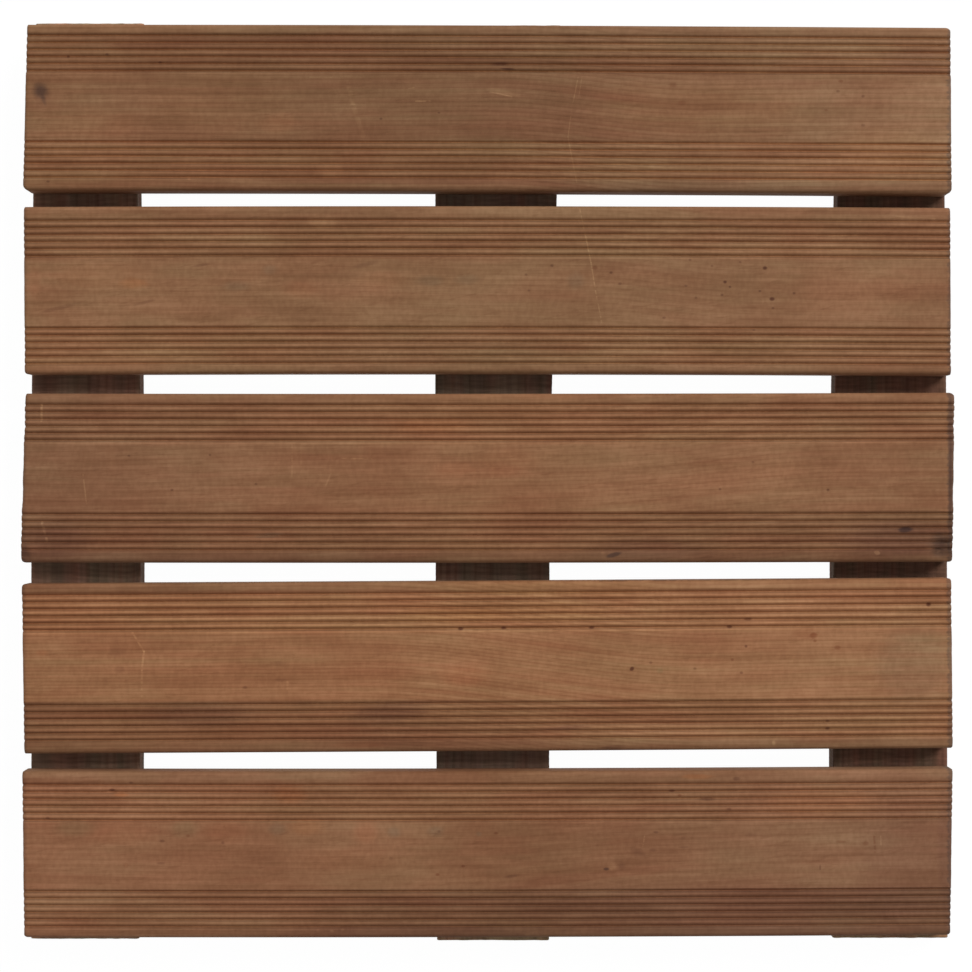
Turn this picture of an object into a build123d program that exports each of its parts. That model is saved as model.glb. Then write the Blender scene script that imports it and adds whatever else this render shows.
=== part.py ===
from build123d import *
from dataclasses import dataclass
from math import radians, tan
import os

# A square garden deck tile: five grooved boards laid side by side across three battens
# and fastened to them from below with wire staples.
# Origin: middle of the footprint, on the surface that the battens stand on.
# X runs along the boards, Y along the battens towards the back, Z up.
# Lengths are in millimetres and angles in degrees.

# Boards
board_length = 500.0
board_width = 90.8
board_thickness = 16.0
board_gap = 10.2
top_edge_radius = 3.5
bottom_edge_radius = 2.0
corner_radius = 1.0
worn_corner_radius = 2.6

# Grooves along each board
grooves_per_band = 6
groove_pitch = 3.8
groove_width = 1.8
groove_depth = 1.1
groove_wall_draft = 28.0
ridge_radius = 1.3
shoulder = 3.2  # from the rounded edge to the first groove's middle

# Battens
batten_width = 60.0
batten_thickness = 16.0
batten_inset = 1.0  # from the ends of the boards
batten_overhang = 2.6  # past the outer boards
batten_edge_chamfer = 0.8

# Staples, two at each crossing
staple_crown = 11.0
staple_wire_thickness = 1.3
staple_wire_width = 1.6
staple_bend_radius = 1.2
staple_point = 2.2
staple_bite = 9.5  # into the board
staple_sink = 0.5  # below the batten's underside
staple_clearance = 0.1
staple_turn = 28.0  # crown off the batten's direction
staple_wander = 7.0  # from staple to staple
staple_batten_edge = 17.0
staple_board_edge = 20.0


@dataclass(frozen=True)
class Board:
    """One board, and how far it lies from its even place."""

    name: str
    extra_width: float
    shift: float  # towards the back
    skew: float  # turned on the battens, seen from above
    groove_shift: float  # groove pattern towards the back
    left_end: float  # longer at the left
    right_end: float  # longer at the right
    left_cut: float  # left end off square
    right_cut: float  # right end off square
    back_right_radius: float = corner_radius


@dataclass(frozen=True)
class Batten:
    """One batten, and how far its sawn edges lie to the right of their even places."""

    name: str
    place: int  # -1 left, 0 middle, 1 right
    left_edge: tuple  # at the front, middle and back
    right_edge: tuple  # at the front, middle and back
    front_end: float  # longer at the front
    back_end: float  # longer at the back


boards = [
    Board("back_board", -1.0, -0.6, -0.20, 0.4, -0.7, 0.3, 1.3, -0.7, worn_corner_radius),
    Board("back_inner_board", -0.3, 2.3, -0.06, -1.2, -0.3, 0.0, -0.4, -0.3),
    Board("middle_board", 0.6, 1.8, 0.05, 0.3, 0.4, 1.6, 1.8, 0.6, worn_corner_radius),
    Board("front_inner_board", 1.0, 1.2, 0.35, 0.3, 0.4, 0.8, -0.5, -0.2),
    Board("front_board", -1.0, 0.8, 0.15, -0.7, 0.3, 0.5, -0.5, 1.0),
]

battens = [
    Batten("left_batten", -1, (-0.4, -0.5, 1.2), (-1.2, -0.3, -3.2), 0.0, 0.4),
    Batten("middle_batten", 0, (2.6, 1.5, 1.6), (3.9, 4.3, 10.6), 0.8, -0.7),
    Batten("right_batten", 1, (-0.2, 0.6, 3.8), (2.9, 2.6, 0.6), -0.5, -2.0),
]

board_pitch = board_width + board_gap
field_depth = (len(boards) - 1) * board_pitch + board_width
batten_length = field_depth + 2 * batten_overhang
batten_spread = board_length / 2 - batten_inset - batten_width / 2
staple_leg = batten_thickness + staple_bite - staple_sink
long_stock = 1.2 * board_length


def board_centre(index):
    """Y of a board's middle, counted from the back."""
    even_place = ((len(boards) - 1) / 2 - index) * board_pitch
    return even_place + boards[index].shift


def batten_edge(batten, side, offsets, y):
    """X of a batten's left (-1) or right (1) edge, straight between its three offsets."""
    front, middle, back = offsets
    reach = y / (batten_length / 2)
    step = back - middle if reach > 0 else middle - front
    return batten.place * batten_spread + side * batten_width / 2 + middle + step * reach


def groove_profile():
    """A groove's section, centred on the board's surface: tapered walls and a flat floor."""
    lean = groove_depth * tan(radians(groove_wall_draft))
    return Trapezoid(groove_width + 2 * lean, 2 * groove_depth, 90 - groove_wall_draft, rotation=180)


def board_section(board):
    """A board's section: rounded edges, two bands of grooves and a plain band between them."""
    width = board_width + board.extra_width
    outermost_groove = width / 2 - top_edge_radius - shoulder
    section = Rectangle(width, board_thickness)
    section = fillet(section.vertices().group_by(Axis.Y)[0], bottom_edge_radius)
    section = fillet(section.vertices().group_by(Axis.Y)[-1], top_edge_radius)
    groove = groove_profile()
    for side in (-1, 1):
        for index in range(grooves_per_band):
            across = side * (outermost_groove - index * groove_pitch) + board.groove_shift
            section -= Pos(across, board_thickness / 2) * groove
    lips = section.vertices().group_by(Axis.Y)[-1].sort_by(Axis.X)[1:-1]
    widest_radius = 0.45 * (groove_pitch - groove_width) / tan(radians(45 - groove_wall_draft / 2))
    return fillet(lips, min(ridge_radius, widest_radius))


def board_plan(board):
    """A board's outline from above, with its ends as they were cut."""
    half_width = (board_width + board.extra_width) / 2
    left = -board_length / 2 - board.left_end
    right = board_length / 2 + board.right_end
    left_lean = half_width * tan(radians(board.left_cut))
    right_lean = half_width * tan(radians(board.right_cut))
    outline = Polygon(
        (left - left_lean, -half_width),
        (right - right_lean, -half_width),
        (right + right_lean, half_width),
        (left + left_lean, half_width),
        align=None,
    )
    outline = fillet(outline.vertices().group_by(Axis.Y)[0], corner_radius)
    outline = fillet(outline.vertices().group_by(Axis.Y)[-1].sort_by(Axis.X)[0], corner_radius)
    return fillet(outline.vertices().group_by(Axis.Y)[-1].sort_by(Axis.X)[-1], board.back_right_radius)


def make_board(index):
    """One board, grooved along its whole length and laid on the battens."""
    board = boards[index]
    start = Plane.YZ.offset(-long_stock / 2) * Pos(0, board_thickness / 2)
    stock = extrude(start * board_section(board), long_stock)
    outline = extrude(board_plan(board), board_thickness)
    return Pos(0, board_centre(index), batten_thickness) * Rot(0, 0, board.skew) * (stock & outline)


def make_batten(batten):
    """One batten, sawn a little off straight, with its long edges eased."""
    front = -batten_length / 2 - batten.front_end
    back = batten_length / 2 + batten.back_end
    left_points = [(batten_edge(batten, -1, batten.left_edge, y), y) for y in (back, 0, front)]
    right_points = [(batten_edge(batten, 1, batten.right_edge, y), y) for y in (front, 0, back)]
    body = extrude(Polygon(*left_points, *right_points, align=None), batten_thickness)
    long_edges = body.edges().filter_by(lambda edge: edge.length > batten_length / 4)
    return chamfer(long_edges, batten_edge_chamfer)


def staple_places():
    """Each staple's batten, board number and place, two staples diagonally at each crossing."""
    for batten in battens:
        for index, board in enumerate(boards):
            diagonal = 1 if index % 2 else -1
            for side in (-1, 1):
                y = board_centre(index) + side * (board_width / 2 - staple_board_edge)
                left = batten_edge(batten, -1, batten.left_edge, y)
                right = batten_edge(batten, 1, batten.right_edge, y)
                x = (left + right) / 2 + side * diagonal * (batten_width / 2 - staple_batten_edge)
                y += x * tan(radians(board.skew))
                wander = staple_wander * ((index + batten.place + side) % 3 - 1)
                turn = 90 + diagonal * staple_turn + wander
                yield batten, index, Pos(x, y, staple_sink) * Rot(0, 0, turn)


def staple_outline():
    """A staple's sharp-cornered outline, crown down, with its points bevelled on the inside."""
    half_crown = staple_crown / 2
    inside = half_crown - staple_wire_thickness
    shank_top = staple_leg - staple_point
    return Polygon(
        (-half_crown, 0),
        (half_crown, 0),
        (half_crown, staple_leg),
        (inside, shank_top),
        (inside, staple_wire_thickness),
        (-inside, staple_wire_thickness),
        (-inside, shank_top),
        (-half_crown, staple_leg),
        align=None,
    )


def make_staple():
    """A wire staple standing on its crown."""
    outline = staple_outline()
    outline = fillet(outline.vertices().group_by(Axis.Y)[0], staple_bend_radius)
    return extrude(Plane.XZ * outline, staple_wire_width / 2, both=True)


def make_staple_slot():
    """What a staple takes out of the wood, open at the underside."""
    outline = offset(staple_outline(), staple_clearance, kind=Kind.INTERSECTION)
    mouth_width = staple_crown + 2 * staple_clearance
    outline += Pos(0, -staple_sink) * Rectangle(mouth_width, 2 * staple_sink)
    return extrude(Plane.XZ * outline, staple_wire_width / 2 + staple_clearance, both=True)


def make_tile():
    """Every node of the tile by name."""
    nodes = {board.name: make_board(index) for index, board in enumerate(boards)}
    nodes.update({batten.name: make_batten(batten) for batten in battens})
    staples = {batten.name: [] for batten in battens}
    staple = make_staple()
    slot = make_staple_slot()
    for batten, index, place in staple_places():
        nodes[batten.name] -= place * slot
        nodes[boards[index].name] -= place * slot
        staples[batten.name].append(place * staple)
    for name, group in staples.items():
        nodes[name + "_staples"] = Compound(children=group)
    return nodes


os.makedirs("parts", exist_ok=True)
for name, shape in make_tile().items():
    export_step(shape, os.path.join("parts", name + ".step"))
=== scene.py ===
import math
from dataclasses import dataclass
from types import SimpleNamespace

import bmesh
import bpy
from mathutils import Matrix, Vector


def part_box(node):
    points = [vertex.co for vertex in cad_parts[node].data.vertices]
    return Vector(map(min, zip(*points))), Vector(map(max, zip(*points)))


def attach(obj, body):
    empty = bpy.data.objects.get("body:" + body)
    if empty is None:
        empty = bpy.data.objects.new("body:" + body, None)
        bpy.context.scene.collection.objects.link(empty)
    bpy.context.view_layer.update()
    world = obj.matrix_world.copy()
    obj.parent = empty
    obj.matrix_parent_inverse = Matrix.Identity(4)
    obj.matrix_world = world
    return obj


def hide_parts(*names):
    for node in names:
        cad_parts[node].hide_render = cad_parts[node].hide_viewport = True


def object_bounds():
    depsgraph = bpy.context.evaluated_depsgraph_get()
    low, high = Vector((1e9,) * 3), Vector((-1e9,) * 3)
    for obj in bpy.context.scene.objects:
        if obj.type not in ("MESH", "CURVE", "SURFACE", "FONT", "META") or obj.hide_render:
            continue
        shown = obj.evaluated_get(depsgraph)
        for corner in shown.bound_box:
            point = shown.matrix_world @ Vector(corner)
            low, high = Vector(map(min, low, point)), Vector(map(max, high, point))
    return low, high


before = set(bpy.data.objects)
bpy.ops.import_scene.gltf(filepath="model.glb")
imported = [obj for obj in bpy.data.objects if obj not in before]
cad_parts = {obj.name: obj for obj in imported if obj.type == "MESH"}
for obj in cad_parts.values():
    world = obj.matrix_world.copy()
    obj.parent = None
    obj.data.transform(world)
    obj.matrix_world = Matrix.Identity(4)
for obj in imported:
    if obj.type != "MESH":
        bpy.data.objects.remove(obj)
cad_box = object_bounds()

# The looks of a garden deck tile: five grooved boards on three rough-sawn battens, stapled from below.
# Lengths are in metres, and a value written in millimetres is multiplied by MM.
MM = 0.001

# Boards, as in the part's source, but for the top edge: it is tighter, and the shoulder wider by as much
board_length = 500.0 * MM
board_width = 90.8 * MM
top_edge_radius = 2.8 * MM
shoulder = 6.7 * MM - top_edge_radius
bottom_edge_radius = 2.0 * MM
grooves_per_band = 6
groove_pitch = 3.8 * MM
groove_width = 1.8 * MM
groove_depth = 1.1 * MM
groove_wall_draft = 28.0  # degrees
groove_floor_radius = 0.25 * MM
ridge_radius = 1.3 * MM
grooved_from = 18.5 * MM  # from a board's middle to where its grooved bands begin

# Battens, as in the part's source
batten_width = 60.0 * MM
batten_inset = 1.0 * MM
batten_edge_chamfer = 0.8 * MM
batten_spread = board_length / 2 - batten_inset - batten_width / 2
batten_reach = 250.0 * MM  # from the middle to where the edges' end offsets hold

# Staples, as in the part's source
staple_crown = 11.0 * MM
staple_wire_thickness = 1.3 * MM
staple_wire_width = 1.6 * MM
staple_clearance = 0.1 * MM

# Wear and saw marks
end_ease = 0.25 * MM  # how far a board's end faces are drawn in at their edges
batten_end_ease = 0.5 * MM
batten_tear = 0.8 * MM
ridge_wear = 0.12 * MM
saw_pitch = 3.1 * MM
saw_wander = 12.0 * MM
saw_depth = 0.09 * MM

# Painted light and shade at each groove, where its own shadow and the light bounced into it fall: a paler
# floor and darker flanks beside it; middle behind the groove's own, reach and core in millimetres
groove_floor_mask = (0.3, 0.65, 0.25)
back_flank_mask = (1.15, 1.0, 0.3)
front_flank_mask = (-0.45, 0.95, 0.15)
flank_loss = 0.30

# Darker, greyer rims at the boards' sawn ends
rim_reach = 2.2 * MM
rim_core = 0.6 * MM
rim_waver = 5.0 * MM
left_rim = 0.35  # as strong as the right one

# Mesh
section_step = 1.2 * MM
hidden_step = 4.0 * MM  # on faces that no one sees close to
board_rail_step = 2.0 * MM
batten_rail_step = 1.25 * MM
cap_rings = 6
cap_curve = 1.3  # how much closer an end's outer rings lie
pole = 0.999  # this far in, an end's points meet
merge_distance = 0.001 * MM

# The photograph's frame, looked straight down at the boards' tops
photo_size = 972
photo_scale = 1.854 / MM  # pixels to a metre at the boards' tops
photo_middle = (487.15, 481.4)  # pixel over the middle of the tile
camera_pixel = (486.0, 486.0)  # pixel that the camera looks at
camera_height = 1217.0 * MM
focal_length = 2197.0  # pixels
sensor_width = 36.0
camera_range = (0.05, 20.0)

# Light
key_strength = 2.9
key_elevation = 40.0  # degrees, as the next two
key_azimuth = 45.0  # from +X towards +Y
key_softness = 28.0
sky_strength = 0.42
floor_half = 3.0
floor_glow = 0.982
floor_grey = 0.025

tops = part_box("middle_board")[1].z
board_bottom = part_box("middle_board")[0].z
board_thickness = tops - board_bottom
batten_thickness = board_bottom

# Waves of noise to a metre, along the wood, across it and through it
slow_waves = (3.0, 9.0, 9.0)
quick_waves = (13.0, 60.0, 60.0)
streak_waves = (11.0, 420.0, 420.0)
thread_waves = (70.0, 1900.0, 1900.0)
pore_waves = (130.0, 1300.0, 1300.0)
cloud_waves = (24.0, 75.0, 75.0)
hue_waves = (17.0, 62.0, 62.0)
dash_waves = (75.0, 520.0, 520.0)
dash_slant = -11.0  # degrees
fleck_waves = (190.0, 420.0, 420.0)
chatter_waves = (430.0, 240.0, 240.0)
ragged_waves = (170.0, 420.0, 420.0)
ring_tone_waves = (0.62, 6.0)  # to a ring, and to a metre along the wood
broad_tone_waves = (0.12, 3.0)
ridge_tone_waves = (3.7, 9.0)  # to a ridge, and to a metre along the wood
ridge_wear_waves = (45.0, 330.0, 0.0)
dent_waves = (350.0, 700.0, 0.0)
board_end_waves = (0.0, 90.0, 90.0)

# Waves on the zinc
spangle_waves = 900.0
patina_waves = (400.0, 400.0, 400.0)

# Waves of noise to a metre on a batten, which lies along Y
saw_wander_waves = (25.0, 30.0, 25.0)
saw_patch_waves = (60.0, 35.0, 60.0)
fuzz_waves = (700.0, 260.0, 700.0)
scuff_waves = (70.0, 700.0, 70.0)
batten_end_waves = (120.0, 0.0, 120.0)

# Darker wood is warmer: its green and blue fall faster than its red
green_warmth = 1.3
blue_warmth = 1.6


def linear(*levels):
    """A colour written in the 0 to 255 levels of a picture, as linear red, green and blue."""
    shares = [level / 255 for level in levels]
    return tuple(s / 12.92 if s <= 0.04045 else ((s + 0.055) / 1.055) ** 2.4 for s in shares)


def opaque(colour):
    """A colour with an alpha of one."""
    return (*colour, 1.0)


# Tints, which multiply the wood's colour
red_tint = (1.08, 0.95, 0.92)
orange_tint = (1.26, 1.06, 0.86)
yellow_tint = (1.12, 1.14, 1.00)
green_tint = (0.88, 1.00, 0.98)
grey_tint = (0.84, 0.96, 1.06)
# straw_tint is painted light along the boards' back edges, which face the key light, and elsewhere a paler
# tone of the wood
straw_tint = (1.00, 1.14, 1.20)
warm_tint = (0.94, 0.88, 0.82)
# the groove floor tint below is painted light, for light bounced into the grooves
painted_groove_light_tint = (1.60, 1.42, 1.20)
rim_tint = (0.60, 0.66, 0.80)
end_grain_tint = (0.66, 0.62, 0.60)
# lit_edge_tint is painted shade on the right batten's outer strip, where the key light reaches it
lit_edge_tint = (0.88, 0.80, 0.76)
latewood_tint = (0.74, 0.68, 0.62)
pale_tint = (1.32, 1.36, 1.40)
scuff_tint = (1.58, 1.82, 1.90)
# shade_tint is painted shade, mostly along the boards' front edges, and also darker wood round knots
shade_tint = (0.76, 0.70, 0.76)
dark_tint = (0.40, 0.28, 0.26)
torn_tint = (0.42, 0.38, 0.40)
knot_tint = (0.42, 0.42, 0.52)
rust_tint = (0.72, 0.56, 0.48)


@dataclass(frozen=True)
class TintPatch:
    """An oval patch of another tint on a board, placed by its pixel in the photograph, for stains and marks
    of the wood and for painted shade and light.
    """

    pixel: tuple
    reach: tuple  # half its length and half its width, in millimetres
    tint: tuple
    strength: float
    turn: float = 0.0  # degrees, seen from above
    edge: float = 0.6  # how soft and ragged its outline is


@dataclass(frozen=True)
class Scratch:
    """A thin line on a board's top, from one pixel of the photograph to another."""

    start: tuple
    end: tuple
    width: float  # in millimetres
    tint: tuple
    strength: float


@dataclass(frozen=True)
class Dent:
    """A place where a board's top is broken or worn down, by its pixel in the photograph."""

    pixel: tuple
    reach: float  # in millimetres
    depth: float  # in millimetres


@dataclass(frozen=True)
class Grain:
    """How a board was sawn from the log, and what its wood looks like, with lengths in millimetres."""

    pith: tuple  # log's centre across the board and above its underside
    ring_width: float
    waver: float  # how far the rings wander
    lean: float  # log's centre off the board's direction
    drift: tuple  # from this x to this x, the rings move by this much
    line: float  # contrast of the rings
    figure: float  # contrast of the crossed grain
    tones: tuple  # levels at the left end, the middle and the right end
    back_edge: tuple  # painted shade and light outside the grooves at the back, at the left and the right, partly the wood's own tone
    back_ridges: tuple  # painted shade and light of the grooved band at the back, at the left and the right, partly the wood's own tone
    front_ridges: tuple
    front_edge: tuple
    painted_groove_shade: float  # how strong the painted shade at the grooves is: darker flanks, and less painted light on their floors
    seed: float


@dataclass(frozen=True)
class Board:
    """One board, as in the part's source, with its grain and its marks, with lengths in millimetres."""

    name: str
    extra_width: float
    skew: float
    groove_shift: float
    left_end: float
    right_end: float
    left_cut: float
    right_cut: float
    crook: float  # how far its middle bends to the back
    raggedness: float  # of its sawn ends
    grain: Grain
    marks: tuple
    dents: tuple
    corner_radii: tuple  # back left, back right, front left and front right

    @property
    def half_width(self):
        """Half its width, in metres."""
        return (board_width + self.extra_width * MM) / 2

    @property
    def outermost_groove(self):
        """From the middle of its groove pattern to the outermost groove's middle, in metres."""
        return self.half_width - top_edge_radius - shoulder


@dataclass(frozen=True)
class Batten:
    """One batten, as in the part's source, with the tone of its wood, with lengths in millimetres."""

    name: str
    place: int
    left_edge: tuple
    right_edge: tuple
    flare: tuple  # how far its back end widens at the left and the right
    tone: tuple
    seed: float


def tint_patches(tint, *rows):
    """Patches of one tint: pixel, half its length and width, strength, and its turn and edge if given."""
    return [TintPatch((x, y), (long, wide), tint, *rest) for x, y, long, wide, *rest in rows]


def scratches(tint, *rows):
    """Scratches of one tint: first and last pixel, width and strength."""
    return [Scratch((x, y), (to_x, to_y), width, tint, rest) for x, y, to_x, to_y, width, rest in rows]


back_board_marks = (
    # painted light: the back edge, which faces the key light, paler and yellower
    *tint_patches(straw_tint, (400, 29, 330, 4.5, 0.8)),
    *tint_patches(warm_tint, (220, 105, 42, 20, 0.6)),
    *tint_patches(red_tint, (90, 124, 32, 9, 0.55), (279, 124, 11, 6, 0.5), (60, 42, 16, 3, 0.4)),
    # painted shade along the front edge; darker wood round the knot and near the right end
    *tint_patches(shade_tint, (915, 60, 18, 8, 0.4), (700, 187, 75, 4, 0.35), (42, 94, 6, 7.5, 0.3, 0, 0.9)),
    *tint_patches(scuff_tint, (284, 123, 9, 6, 0.14), (330, 171, 7, 4.5, 0.35), (505, 93, 9, 1.6, 0.35, -12)),
    *tint_patches(yellow_tint, (700, 110, 60, 16, 0.35), (890, 150, 30, 12, 0.3)),
    *tint_patches(dark_tint, (500, 64, 5, 1, 0.7, 2), (507, 69, 4, 0.6, 0.9, -4), (68, 56, 1, 0.7, 0.8),
        (107, 54, 1, 0.7, 0.7), (160, 62, 1, 0.6, 0.7), (48, 181, 1, 0.6, 0.7),
        (381, 119, 0.9, 0.7, 0.6), (439, 113, 0.9, 0.6, 0.6), (838, 91, 1.2, 0.8, 0.5),
        (863, 96, 1, 0.8, 0.5), (863, 125, 1.2, 0.8, 0.4)),
    *tint_patches(knot_tint, (40.4, 90, 4.3, 4.8, 0.85, 10, 0.6), (40.4, 90.5, 2.4, 3, 0.3, 10, 0.6),
        (43.8, 99.5, 1.3, 3, 0.6, 20, 0.8)),
    *tint_patches(pale_tint, (189, 179, 0.9, 0.7, 0.9)),
    *tint_patches(rust_tint, (673, 85, 2.2, 1.6, 0.6), (682, 103, 2.4, 1.6, 0.55), (841, 81, 1.4, 0.9, 0.7),
        (826, 110, 1.2, 0.8, 0.6)),
    *scratches(scuff_tint, (490, 92, 512, 97, 0.5, 0.6), (348, 82, 353, 104, 1.8, 0.22),
        (353, 104, 363, 136, 1.8, 0.22), (310, 77.5, 332, 77.5, 0.5, 0.3),
        (416, 101.5, 430, 101.5, 0.6, 0.8), (409, 89, 414, 88, 0.5, 0.45),
        (579, 73, 572, 108, 0.5, 0.55), (572, 108, 568, 137, 0.45, 0.5),
        (568, 137, 577, 184, 0.45, 0.4), (582, 76, 579, 96, 0.4, 0.45)),
)

back_inner_board_marks = (
    *tint_patches(red_tint, (100, 276, 30, 8, 0.55), (34, 281, 4, 9, 0.45), (301, 289, 10, 5, 0.5),
        (380, 281, 14, 6, 0.5), (860, 290, 45, 16, 0.35)),
    *tint_patches(orange_tint, (134, 283, 8, 3, 0.5)),
    *tint_patches(scuff_tint, (323, 222, 9, 4.5, 0.3)),
    *tint_patches(straw_tint, (440, 350, 85, 11, 0.6)),
    *tint_patches(grey_tint, (236, 286, 8, 3, 0.6), (270, 270, 4, 3, 0.6), (430, 281, 8, 3, 0.6),
        (467, 280, 7, 3, 0.5), (576, 281, 5, 5, 0.6)),
    *tint_patches(dark_tint, (60, 307, 12, 1.2, 0.3, 14), (145, 302, 6, 0.9, 0.3, 14),
        (201, 265, 5, 0.8, 0.35, 10), (365, 265, 7, 1.4, 0.3, 12), (552, 266, 1, 0.9, 0.6),
        (611, 273, 1, 0.8, 0.6), (620, 284, 1, 0.8, 0.55), (526, 275, 0.9, 0.7, 0.5),
        (529, 291, 0.9, 0.7, 0.5), (686, 286, 1, 0.7, 0.55), (696, 298, 0.9, 0.7, 0.5),
        (664, 318, 1, 0.7, 0.5), (690, 260, 0.9, 0.7, 0.5), (765, 268, 1.3, 1, 0.95),
        (725, 282, 1.1, 0.9, 0.95), (730, 287, 0.8, 0.7, 0.7), (722, 295, 0.9, 0.7, 0.6),
        (760, 291, 0.9, 0.7, 0.65), (772, 299, 1.5, 1.1, 1), (794, 293, 0.9, 0.7, 0.6),
        (773, 308, 0.9, 0.7, 0.6), (754, 330, 0.9, 0.6, 0.6), (712, 266, 0.8, 0.6, 0.5),
        (740, 262, 0.8, 0.6, 0.5)),
    *tint_patches(rust_tint, (595, 268, 1.6, 1.2, 0.7)),
    *scratches(scuff_tint, (580, 210, 587, 243, 0.5, 0.5), (587, 243, 591, 263, 0.5, 0.6),
        (591, 263, 595.5, 291, 0.5, 0.6), (595.5, 291, 602, 324, 0.45, 0.5),
        (829, 236, 857, 234, 0.6, 0.35), (832, 250, 856, 249, 0.6, 0.3),
        (896, 216, 935, 218, 0.6, 0.35)),
)

middle_board_marks = (
    # painted shade along the front edge; darker wood round the knot and at the right end
    *tint_patches(shade_tint, (55, 540, 20, 11, 0.75), (900, 540, 34, 11, 1), (650, 549, 34, 7, 0.65),
        (905.5, 530, 3, 1.2, 1, 4, 0.4), (951, 455, 1.3, 40, 1, 0, 0.9)),
    *tint_patches(red_tint, (455, 469, 13, 4, 0.5), (505, 462, 19, 8, 0.45), (760, 480, 50, 12, 0.25)),
    *tint_patches(orange_tint, (432, 425, 26, 4, 0.35)),
    *tint_patches(grey_tint, (269, 535, 8, 1.6, 0.9, 4), (941, 546, 7, 7.5, 1)),
    *tint_patches(pale_tint, (163, 530, 17, 1, 0.35, -2), (111, 459, 3, 9, 0.2), (296, 460, 5, 9, 0.16),
        (621, 531, 11, 0.9, 0.4, 4), (603, 553, 1.4, 1, 0.7), (945, 549, 2.2, 0.7, 1, -10, 0.4),
        (939, 552, 1.4, 0.6, 1, 30, 0.4), (946, 511, 5, 0.5, 0.8, -3)),
    *tint_patches(knot_tint, (614, 554.5, 4.6, 1.3, 0.9, 14, 0.4), (905.5, 530, 4.2, 1.7, 1, 4, 0.4)),
    *tint_patches(torn_tint, (942, 546, 5, 6.5, 0.8, 0, 0.9), (950.5, 487, 1.2, 24, 0.5, 0, 0.9),
        (25, 553, 3, 5, 0.55, 0, 0.8)),
    *tint_patches(scuff_tint, (877, 553, 1.8, 1.2, 1, -15, 0.3)),
    *tint_patches(dark_tint, (172, 490, 0.9, 0.7, 0.6), (210, 455, 0.9, 0.7, 0.6), (129, 456, 0.9, 0.7, 0.5),
        (256, 484, 0.9, 0.7, 0.5), (828, 490, 0.9, 0.8, 0.7), (720, 489, 0.9, 0.7, 0.6),
        (753, 462, 0.9, 0.7, 0.5)),
    *scratches(scuff_tint, (41.4, 404, 41.6, 423, 0.9, 0.9), (42, 523, 47, 541, 0.9, 0.9),
        (83, 475, 86.5, 504, 0.6, 0.5), (327, 447, 331, 473, 0.7, 0.15), (331, 473, 326, 485, 0.7, 0.3),
        (301, 442, 301, 476, 0.7, 0.08), (292, 445, 292, 476, 0.7, 0.25),
        (338, 458.5, 372, 458.5, 0.6, 0.6)),
)

front_inner_board_marks = (
    # painted light: paler, yellower strips along the back edge, which faces the key light
    *tint_patches(straw_tint, (200, 585, 110, 4, 0.6), (560, 588, 80, 4.5, 0.7)),
    *tint_patches(yellow_tint, (560, 588, 70, 4.5, 0.7), (450, 615, 30, 5, 0.5), (540, 612, 40, 6, 0.35)),
    *tint_patches(red_tint, (150, 728, 70, 12, 0.45), (465, 675, 16, 6, 0.5), (358, 745, 16, 2, 0.7),
        (42, 653, 3.5, 1.5, 0.7)),
    # painted shade towards the front edge
    *tint_patches(shade_tint, (200, 715, 32, 7, 0.7), (390, 712, 22, 6, 0.8, 6), (435, 735, 70, 10, 0.3),
        (565, 728, 14, 1.4, 0.9, 3)),
    *tint_patches(pale_tint, (128, 663, 19, 10, 0.14)),
    *tint_patches(dark_tint, (117, 652, 5, 3, 0.22), (119.5, 670, 3, 2.2, 0.25), (278, 663, 4, 1.4, 0.22),
        (281, 680, 3, 1.2, 0.25), (245, 687.5, 1.4, 0.8, 0.5), (460.5, 628.6, 1.6, 1, 1),
        (503.7, 627.8, 1.6, 0.9, 0.95), (591.7, 627.4, 1.8, 0.9, 1), (632, 668.7, 1.4, 1.1, 1, 40, 0.5),
        (650.7, 662.6, 1, 0.8, 0.5), (695, 668.4, 1, 0.7, 0.5), (612, 748, 7, 1.6, 0.5, 6),
        (746, 646.3, 0.9, 0.8, 0.8), (741.4, 672.8, 1, 0.8, 0.55), (748, 619, 2.2, 1, 0.75),
        (729.8, 626.7, 1.6, 1, 0.95), (928.8, 604.8, 1.5, 1.1, 1), (827.7, 721, 1.2, 0.8, 0.7),
        (827.7, 728.4, 1.4, 0.9, 0.95)),
    *tint_patches(rust_tint, (632, 669, 3.2, 2.4, 0.3, 0, 0.9), (804, 634, 7, 3.6, 0.55, 0, 0.9),
        (813.6, 635.5, 2.2, 1.7, 1, 0, 0.5), (815, 641, 1, 0.8, 0.8), (837.6, 647.6, 2, 1.3, 0.8),
        (732.3, 659.6, 0.9, 0.8, 0.8)),
    *tint_patches(green_tint, (659.8, 670.7, 1.8, 1.5, 0.8)),
    *tint_patches(grey_tint, (914, 664, 22, 22, 0.6, 0, 0.5)),
    *tint_patches(scuff_tint, (773.8, 743, 1, 1.4, 0.65)),
    *scratches(torn_tint, (600, 580.8, 800, 579.2, 0.7, 0.6)),
    *scratches(scuff_tint, (132.5, 633, 144, 651.6, 0.7, 0.5), (144, 651.6, 141.7, 670, 0.8, 0.4),
        (141.7, 670, 141.7, 697, 0.8, 0.3), (287.5, 681, 287.5, 689, 0.8, 0.4)),
)

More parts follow.
